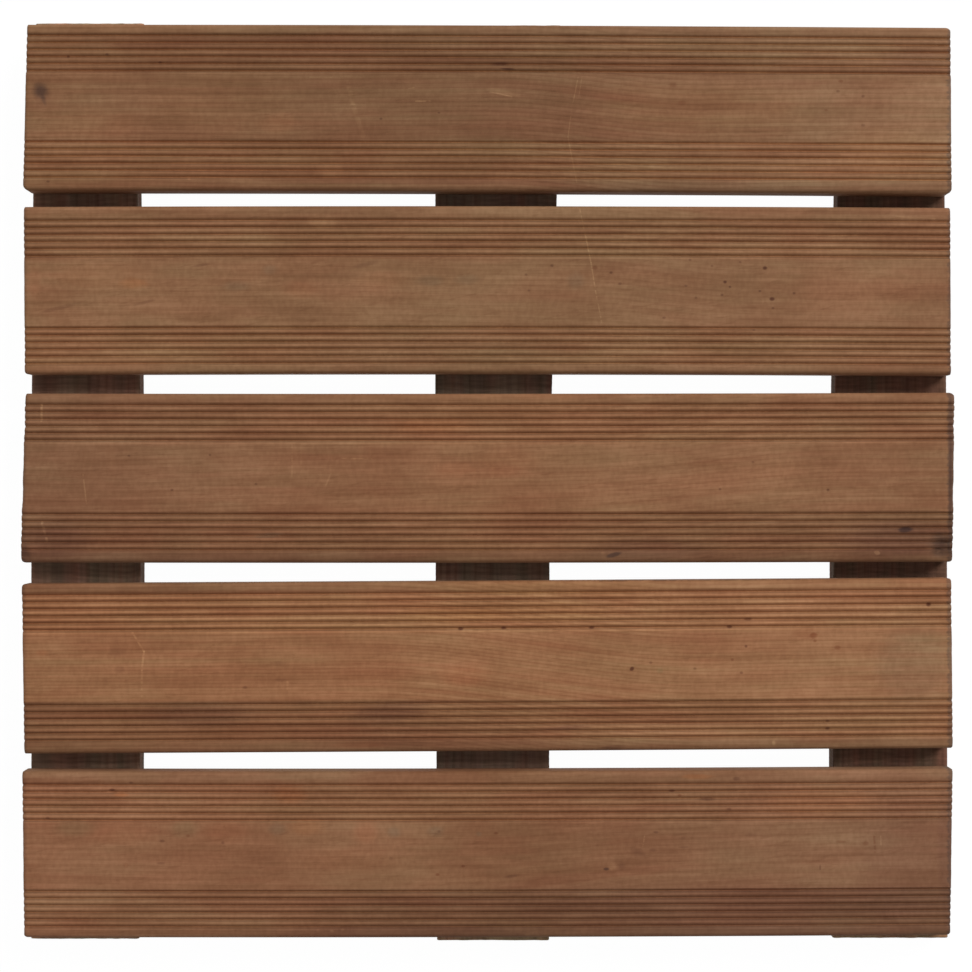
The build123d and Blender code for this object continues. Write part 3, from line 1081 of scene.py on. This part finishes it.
def figure_group():
    """Crossed grain: soft blotches, and slanting dashes where the fibres dip under the surface."""
    nodes, given = new_group("crossed_figure", "ShaderNodeTree", place=ORIGIN, seed=0.0)
    clouds = nodes.waves(given.place, cloud_waves, 3.0, 0.6, given.seed)
    hue = nodes.waves(given.place, hue_waves, 2.0, 0.55, given.seed + 5.0)
    slanted = nodes.turned(given.place, math.radians(dash_slant))
    dashes = nodes.ramp(nodes.waves(slanted, dash_waves, 2.0, 0.6, given.seed), 0.56, 0.74)
    flecks = nodes.ramp(nodes.waves(given.place, fleck_waves, 2.0, 0.5, given.seed), 0.67, 0.76)
    chatter = nodes.waves(given.place, chatter_waves, 1.0, 0.5, given.seed)
    return end_group(nodes, clouds=clouds, hue=hue, dashes=dashes, flecks=flecks, chatter=chatter)


def saw_marks_group():
    """Stripes that the band saw left across the wood, and scuffs along them."""
    nodes, given = new_group("saw_marks", "ShaderNodeTree", place=ORIGIN, pitch=0.003, seed=0.0)
    marks = saw_stripes(nodes, given.place, given.pitch, given.seed)
    scuffs = nodes.waves(given.place, scuff_waves, 3.0, 0.6, given.seed)
    return end_group(nodes, marks=marks, scuffs=scuffs)


# Materials

def on_board(pixel, centre_y, turn):
    """A pixel of the photograph as a place from a board's middle, in a frame turned by so many degrees."""
    x = (pixel[0] - photo_middle[0]) / photo_scale
    y = (photo_middle[1] - pixel[1]) / photo_scale - centre_y
    cosine, sine = math.cos(math.radians(turn)), math.sin(math.radians(turn))
    return Vector((x * cosine + y * sine, y * cosine - x * sine, 0.0))


def new_material(name):
    """An empty node material; gives it, its nodes and its Principled BSDF."""
    material = bpy.data.materials.new(name)
    material.use_nodes = True
    return material, Nodes(material.node_tree), material.node_tree.nodes["Principled BSDF"]


def set_surface(nodes, surface, specular, colour, roughness, bump):
    """Gives a surface its colour, how rough and how shiny it is, and its relief."""
    surface.inputs["Specular IOR Level"].default_value = specular
    strength, distance, height = bump
    relief = nodes.put("ShaderNodeBump", named={"strength": strength, "distance": distance, "height": height})
    for name, value in (("Base Color", colour), ("Roughness", roughness), ("Normal", relief)):
        nodes.fill(surface.inputs[name], value)


def end_grained(nodes, wood, axis):
    """Wood that is darker where its face looks along an axis, 0 for X and 1 for Y."""
    facing = nodes.split(nodes.put("ShaderNodeNewGeometry", out="True Normal"))[axis]
    return nodes.tinted(wood, opaque(end_grain_tint), nodes.ramp(abs(facing), 0.7, 0.9) * 0.6)


def band_shade(nodes, x, across, board):
    """Painted shade and light, partly the wood's own tone: how dark the rounded edges and the grooved bands
    are beside the plain middle.
    """
    ridges_end = board.outermost_groove + groove_width / 2
    grain = board.grain
    along = nodes.even(x, -board_length / 2, board_length / 2)
    pattern = across - board.groove_shift * MM
    shades = []
    for way, ridges, edge in (
        (1.0, grain.back_ridges, grain.back_edge), (-1.0, grain.front_ridges, grain.front_edge)
    ):
        out = pattern * way
        on_edge = nodes.ramp(out, ridges_end - 0.5 * MM, ridges_end + 1.0 * MM)
        on_ridges = nodes.ramp(out, grooved_from - 1.0 * MM, grooved_from)
        wanted = nodes.between(on_edge, nodes.between(along, *ridges), nodes.between(along, *edge))
        shades.append(nodes.between(on_ridges, 1.0, wanted))
    return shades[0] * shades[1]


def groove_lines(nodes, across, board):
    """Masks for painted light on the grooves' floors and painted shade on the flanks beside them, and a
    number for each ridge.
    """
    pattern = across - board.groove_shift * MM
    out = abs(pattern)
    count = (out - board.outermost_groove) / groove_pitch
    nearest = nodes.maths("MINIMUM", nodes.maths("ROUND", count), 0.0)
    side = nodes.maths("SIGN", pattern)
    behind = (count - nearest) * side * groove_pitch
    masks = [
        nodes.ramp(abs(behind - middle * MM), reach * MM, core * MM)
        for middle, reach, core in (groove_floor_mask, back_flank_mask, front_flank_mask)
    ]
    ridge = nodes.maths("FLOOR", count) + side * 21.0
    grooved = out > grooved_from - 0.5 * MM
    return [value * grooved for value in (*masks, ridge)]


def marked(nodes, wood, place, ragged, board, centre_y, groups):
    """Wood with a board's tinted patches and scratches: its stains and marks, and painted shade and light."""
    flat = place * (1.0, 1.0, 0.0)
    broken = nodes.ramp(ragged, -0.12, 0.05)
    turned_places = {0.0: flat}
    for mark in board.marks:
        look = {"wood": wood, "tint": opaque(mark.tint), "strength": mark.strength}
        if isinstance(mark, Scratch):
            start, end = (on_board(pixel, centre_y, board.skew) for pixel in (mark.start, mark.end))
            wood = nodes.use(
                groups.scratch, place=flat, broken=broken, start=tuple(start), run=tuple(end - start),
                width=mark.width * MM, **look,
            )
            continue
        if mark.turn not in turned_places:
            turned_places[mark.turn] = nodes.turned(flat, math.radians(-mark.turn))
        scale = Vector((1 / (mark.reach[0] * MM), 1 / (mark.reach[1] * MM), 0.0))
        middle = on_board(mark.pixel, centre_y, board.skew + mark.turn)
        wood = nodes.use(
            groups.stain, place=turned_places[mark.turn], ragged=ragged, scale=tuple(scale),
            offset=tuple(-scale * middle), edge=mark.edge, **look,
        )
    return wood


def placed_on_board(nodes, board, centre_y):
    """A point's place from a board's middle at its underside, with the board's skew and crook undone."""
    place = nodes.put("ShaderNodeTexCoord", out="Object") - (0.0, centre_y, board_bottom)
    place = nodes.turned(place, math.radians(-board.skew))
    return place - nodes.join(0.0, bend(nodes.split(place)[0], board.crook * MM), 0.0)


def varied(nodes, number, rows):
    """A number multiplied by one that goes from dark to bright as each noise goes from low to high."""
    for value, low, high, dark, bright in rows:
        number = number * nodes.ramp(value, low, high, dark, bright)
    return number


def end_to_end(nodes, x, tones):
    """A colour that goes from the left end's to the middle's and to the right end's."""
    left, middle, right = (opaque(linear(*tone)) for tone in tones)
    tone = nodes.blend(nodes.even(x, -board_length / 2, 0.0), left, middle)
    return nodes.blend(nodes.even(x, 0.0, board_length / 2), tone, right)


def grained(nodes, tone, x, ridge, back_flank, grain, rings, fibres, figure):
    """A board's tone with its rings, fibres and crossed grain, and with each ridge a little its own."""
    line, crossed = grain.line, grain.figure
    a_ridge, a_metre = ridge_tone_waves
    ridge_tone = nodes.noise(nodes.join(ridge * a_ridge, x * a_metre, grain.seed), 2.0)
    light = varied(nodes, 1.0, (
        (rings.ring_tone, 0.32, 0.68, 1 - 0.06 * line, 1 + 0.07 * line),
        (fibres.streaks, 0.30, 0.70, 0.93, 1.06),
        (fibres.thread, 0.30, 0.70, 0.96, 1.04),
        (figure.clouds, 0.34, 0.66, 1 - 0.09 * crossed, 1 + 0.08 * crossed),
        (figure.chatter, 0.30, 0.70, 0.95, 1.05),
        (ridge_tone, 0.30, 0.70, 0.94, 1.06),
    ))
    # the back flank's loss is painted shade beside each groove; the other losses are the wood's own
    for mask, loss in (
        (rings.latewood, 0.13 * line), (fibres.pores, 0.12), (figure.dashes, 0.10 * crossed),
        (figure.flecks, 0.08 * crossed), (back_flank, flank_loss * grain.painted_groove_shade),
    ):
        light = light * (1.0 - mask * loss)
    hue = varied(nodes, (rings.ring_tone - fibres.streaks) * (0.20 * line) + 1.0, (
        (figure.hue, 0.38, 0.62, 0.965, 1.035),
        (rings.broad_tone, 0.35, 0.65, 1.02, 0.98),
        (ridge_tone, 0.30, 0.70, 0.97, 1.03),
    ))
    green, blue = (nodes.maths("POWER", light, warmth) * hue for warmth in (green_warmth, blue_warmth))
    return nodes.vector("MULTIPLY", tone, nodes.join(light, green, blue))


def darker_at_ends(nodes, wood, x, ragged):
    """Wood that is darker near a board's two sawn ends, more so at the right."""
    half_length = board_length / 2
    rim = nodes.ramp(abs(x) + ragged * rim_waver, half_length - rim_reach, half_length - rim_core)
    return nodes.tinted(wood, opaque(rim_tint), rim * nodes.between(x > 0.0, left_rim, 1.0))


def board_material(board, centre_y, groups):
    """Planed, pressure-treated softwood with this board's own grain and marks."""
    grain = board.grain
    material, nodes, surface = new_material(board.name + "_wood")
    place = placed_on_board(nodes, board, centre_y)
    x, across, z = nodes.split(place)
    floor, back_flank, front_flank, ridge = groove_lines(nodes, across, board)
    # painted shade: the bands' shading, and the front flank beside each groove
    shade = band_shade(nodes, x, across, board) * (1.0 - front_flank * flank_loss)
    tone = nodes.scaled(end_to_end(nodes, x, grain.tones), shade)
    drift_from, drift_to, drift = (value * MM for value in grain.drift)
    rings = nodes.use(
        groups.growth_rings, place=place, pith=(0.0, *(value * MM for value in grain.pith)),
        lean=grain.lean, ring_width=grain.ring_width * MM, waver=grain.waver * MM,
        drift_from=drift_from, drift_to=drift_to, drift=drift, seed=grain.seed,
    )
    fibres = nodes.use(groups.fibres, place=place, seed=grain.seed)
    figure = nodes.use(groups.figure, place=place, seed=grain.seed)
    wood = grained(nodes, tone, x, ridge, back_flank, grain, rings, fibres, figure)
    ragged = nodes.waves(place, ragged_waves, 3.0, 0.6, grain.seed) - 0.5
    wood = marked(nodes, wood, place, ragged, board, centre_y, groups)
    on_top = nodes.ramp(z, board_thickness - 2 * groove_depth, board_thickness - 1.9 * groove_depth)
    # painted light: each groove's floor made paler and warmer, for the light bounced into it
    wood = nodes.tinted(wood, opaque(painted_groove_light_tint), floor * on_top * (1.5 - grain.painted_groove_shade))
    wood = end_grained(nodes, darker_at_ends(nodes, wood, x, ragged), 0)
    roughness = nodes.between(fibres.streaks, 0.90, 0.70)
    set_surface(nodes, surface, 0.25, wood, roughness, (0.35, 0.12 * MM, fibres.streaks))
    return material


def batten_material(batten, groups):
    """Rough-sawn, pressure-treated softwood."""
    material, nodes, surface = new_material(batten.name + "_wood")
    place = nodes.put("ShaderNodeTexCoord", out="Object") - (batten.place * batten_spread, 0.0, 0.0)
    along_y = nodes.turned(place, math.radians(90.0))
    rings = nodes.use(
        groups.growth_rings, place=along_y, pith=(0.0, 0.03 * batten.place + 0.01, 0.055),
        lean=0.01, ring_width=2.6 * MM, waver=3.0 * MM, seed=batten.seed,
    )
    fibres = nodes.use(groups.fibres, place=along_y, seed=batten.seed)
    figure = nodes.use(groups.figure, place=along_y, seed=batten.seed)
    saw = nodes.use(groups.saw_marks, place=place, pitch=saw_pitch, seed=batten.seed)
    x, y, _ = nodes.split(place)
    bare = nodes.ramp(abs(y), batten_reach - 3.5 * MM, batten_reach - 2.5 * MM)
    wood = nodes.blend(bare, opaque(batten.tone), opaque(bare_batten_tone))
    # painted shade: the right batten's outer strip, where the key light reaches in at the gaps' open ends,
    # dimmed and warmed
    if batten.place == 1:
        wood = nodes.tinted(wood, opaque(lit_edge_tint), nodes.ramp(x, 22.0 * MM, 27.0 * MM))
    for value, low, high, dark, light in (
        (rings.ring_tone, 0.32, 0.68, (0.92, 0.99, 0.96), (1.08, 0.99, 1.0)),
        (fibres.streaks, 0.30, 0.70, (0.88, 0.88, 0.88), (1.10, 1.10, 1.10)),
        (figure.clouds, 0.34, 0.66, (0.88, 0.89, 0.90), (1.10, 1.09, 1.07)),
        (figure.hue, 0.38, 0.62, (0.94, 1.03, 1.02), (1.06, 0.97, 0.96)),
        (saw.marks, -0.9, 0.9, (0.93, 0.93, 0.93), (1.05, 1.05, 1.05)),
        (saw.scuffs, 0.35, 0.65, (0.90, 0.90, 0.90), (1.10, 1.10, 1.11)),
    ):
        tint = nodes.blend(nodes.ramp(value, low, high), opaque(dark), opaque(light))
        wood = nodes.tinted(wood, tint, 1.0)
    wood = nodes.tinted(wood, opaque(latewood_tint), rings.latewood * 0.5)
    wood = end_grained(nodes, wood, 1)
    relief = fibres.thread * 0.6 + saw.scuffs + rings.latewood * 0.3
    roughness = nodes.between(fibres.streaks, 0.97, 0.85)
    set_surface(nodes, surface, 0.2, wood, roughness, (0.6, 0.25 * MM, relief))
    return material


def zinc_material():
    """Dull galvanised wire with spangle and a grey patina."""
    material, nodes, surface = new_material("zinc_wire")
    place = nodes.put("ShaderNodeTexCoord", out="Object")
    spangle = nodes.split(nodes.put("ShaderNodeTexVoronoi", place, None, spangle_waves, out="Color"))[0]
    patina = nodes.waves(place, patina_waves, 3.0, 0.6, 2.0)
    zinc = nodes.blend(spangle, opaque(linear(176, 178, 180)), opaque(linear(196, 198, 200)))
    zinc = nodes.blend(nodes.ramp(patina, 0.45, 0.70), zinc, opaque(linear(150, 148, 144)))
    surface.inputs["Metallic"].default_value = 1.0
    set_surface(nodes, surface, 0.5, zinc, nodes.between(patina, 0.35, 0.62), (0.2, 0.05 * MM, patina))
    return material


# Pieces

def build_board(board, tree, groups):
    """One board in its place, which stands for the CAD board."""
    low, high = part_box(board.name)
    centre_y = (low.y + high.y) / 2
    dents = points_object(
        board.name + "_dents", [on_board(dent.pixel, centre_y, board.skew) for dent in board.dents],
        reach=[dent.reach * MM for dent in board.dents], depth=[dent.depth * MM for dent in board.dents],
    )
    corners = ("back_left_radius", "back_right_radius", "front_left_radius", "front_right_radius")
    made = grown(
        board.name + "_grooved", outline_object(board.name + "_section", board_outline(board)), tree,
        dents=dents, material=board_material(board, centre_y, groups),
        rings=round(board_length / board_rail_step) + 2 * cap_rings,
        left_end=-board_length / 2 - board.left_end * MM, right_end=board_length / 2 + board.right_end * MM,
        left_cut=math.tan(math.radians(board.left_cut)), right_cut=math.tan(math.radians(board.right_cut)),
        half_width=board.half_width, thickness=board_thickness, skew=math.radians(board.skew),
        centre=(0.0, centre_y, board_bottom), crook=board.crook * MM, raggedness=board.raggedness * MM,
        seed=board.grain.seed, **{corner: radius * MM for corner, radius in zip(corners, board.corner_radii)},
    )
    bpy.data.objects.remove(dents)
    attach(made, "root")
    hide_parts(board.name)


def staple_spots(node):
    """Middle and turn of each staple's crown, read from the CAD staples."""
    work = bmesh.new()
    work.from_mesh(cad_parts[node].data)
    bmesh.ops.remove_doubles(work, verts=work.verts, dist=0.01 * MM)
    spots = []
    waiting = set(work.verts)
    while waiting:
        group = {waiting.pop()}
        edge_of_group = list(group)
        while edge_of_group:
            vertex = edge_of_group.pop()
            found = {edge.other_vert(vertex) for edge in vertex.link_edges} & waiting
            waiting -= found
            group |= found
            edge_of_group += found
        corners = [vertex.co for vertex in group]
        middle = sum(corners, Vector()) / len(corners)
        spans = [corner - middle for corner in corners]
        turn = math.atan2(2 * sum(s.x * s.y for s in spans), sum(s.x * s.x - s.y * s.y for s in spans)) / 2
        spots.append(((middle.x, middle.y, min(corner.z for corner in corners)), turn))
    work.free()
    return sorted(spots)


def pocket_shape():
    """What a staple presses out of a batten's underside: a slot with rounded ends."""
    half = staple_crown / 2 + 2 * staple_clearance
    radius = staple_wire_width / 2 + 3 * staple_clearance
    outline = arc_points((half - radius, 0.0), radius, -90, 90, 6)
    outline += arc_points((-half + radius, 0.0), radius, 90, 270, 6)
    work = bmesh.new()
    rings = []
    for height, swell in ((-2.0 * MM, 1.25), (0.0, 1.0), (staple_wire_thickness + staple_clearance, 0.92)):
        rings.append([work.verts.new((x * (1 + (swell - 1) * 0.3), y * swell, height)) for x, y in outline])
    count = len(outline)
    for lower, upper in zip(rings, rings[1:]):
        for index in range(count):
            after = (index + 1) % count
            work.faces.new((lower[index], lower[after], upper[after], upper[index]))
    work.faces.new(list(reversed(rings[0])))
    work.faces.new(rings[-1])
    bmesh.ops.recalc_face_normals(work, faces=work.faces)
    mesh = bpy.data.meshes.new("staple_pocket")
    work.to_mesh(mesh)
    work.free()
    return new_object("staple_pocket", mesh)


def build_batten(batten, tree, placing, pocket, groups):
    """One batten in its place, with its staples pressed into it, which stands for the CAD batten."""
    low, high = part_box(batten.name)
    places, turns = zip(*staple_spots(batten.name + "_staples"))
    spots = points_object(batten.name + "_spots", places, turn=turns)
    pockets = grown(batten.name + "_pockets", spots, placing, shape=pocket)
    parts = ("front", "middle", "back", "flare")
    edges = {
        f"{side}_{part}": value * MM
        for side, edge, flare in (
            ("left", batten.left_edge, batten.flare[0]), ("right", batten.right_edge, batten.flare[1])
        )
        for part, value in zip(parts, (*edge, flare))
    }
    made = grown(
        batten.name + "_sawn", outline_object(batten.name + "_section", batten_outline()), tree,
        pockets=pockets, material=batten_material(batten, groups),
        rings=round((high.y - low.y) / batten_rail_step) + 2 * cap_rings,
        front_end=low.y, back_end=high.y, half_width=batten_width / 2, thickness=batten_thickness,
        middle=batten.place * batten_spread, seed=batten.seed, **edges,
    )
    bpy.data.objects.remove(pockets)
    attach(made, "root")
    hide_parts(batten.name)


def build_camera():
    """Looks straight down at the boards, as the photograph does."""
    data = bpy.data.cameras.new("camera")
    data.sensor_width = sensor_width
    data.lens = focal_length / photo_size * sensor_width
    data.clip_start, data.clip_end = camera_range
    camera = new_object("camera", data)
    aim = on_board(camera_pixel, 0.0, 0.0)
    camera.location = (aim.x, aim.y, camera_height)
    bpy.context.scene.camera = camera


def build_light():
    """A soft key light from the back right, and an even sky."""
    data = bpy.data.lights.new("key", "SUN")
    data.energy = key_strength
    data.angle = math.radians(key_softness)
    key = new_object("key", data)
    key.rotation_euler = (0.0, math.radians(90.0 - key_elevation), math.radians(key_azimuth))
    world = bpy.data.worlds.new("studio")
    world.use_nodes = True
    bpy.context.scene.world = world
    nodes = Nodes(world.node_tree)
    background = world.node_tree.nodes["Background"]
    rays = nodes.outputs(nodes.put("ShaderNodeLightPath"))
    seen = nodes.maths("MAXIMUM", rays.is_glossy_ray, rays.is_transmission_ray)
    seen = nodes.maths("MAXIMUM", rays.is_camera_ray, seen)
    nodes.fill(background.inputs["Color"], (1.0, 1.0, 1.0, 1.0))
    nodes.fill(background.inputs["Strength"], nodes.between(seen, sky_strength, 1.0))


def build_floor():
    """A white floor that keeps a faint shadow of the tile, and can be looked through from below."""
    bpy.ops.mesh.primitive_plane_add(size=2 * floor_half, location=(0.0, 0.0, cad_box[0].z))
    floor = bpy.context.active_object
    floor.name = "floor"
    material, nodes, surface = new_material("white_floor")
    material.node_tree.nodes.remove(surface)
    matt = nodes.put("ShaderNodeBsdfDiffuse", opaque((floor_grey,) * 3))
    glow = nodes.put("ShaderNodeEmission", (1.0, 1.0, 1.0, 1.0), floor_glow)
    lit = nodes.put("ShaderNodeAddShader", matt, glow)
    clear = nodes.put("ShaderNodeBsdfTransparent")
    behind = nodes.put("ShaderNodeNewGeometry", out="Backfacing")
    leave = material.node_tree.nodes["Material Output"]
    nodes.fill(leave.inputs["Surface"], nodes.put("ShaderNodeMixShader", behind, lit, clear))
    floor.data.materials.append(material)
    floor.visible_diffuse = False
    floor.visible_glossy = False
    floor.visible_shadow = False


def build_tile():
    """Every piece of the tile."""
    groups = SimpleNamespace(
        stain=tint_patch_group(), scratch=scratch_group(), growth_rings=growth_rings_group(),
        fibres=fibres_group(), figure=figure_group(), saw_marks=saw_marks_group(),
    )
    sweep = sweep_group()
    board_tree = grooved_board_tree(sweep)
    for board in boards:
        build_board(board, board_tree, groups)
    batten_tree = sawn_batten_tree(sweep)
    placing = staples_tree()
    pocket = pocket_shape()
    zinc = zinc_material()
    for batten in battens:
        build_batten(batten, batten_tree, placing, pocket, groups)
        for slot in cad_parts[batten.name + "_staples"].material_slots:
            slot.material = zinc
    bpy.data.objects.remove(pocket)


bpy.context.scene.view_settings.view_transform = "Standard"
build_camera()
build_light()
build_floor()
build_tile()
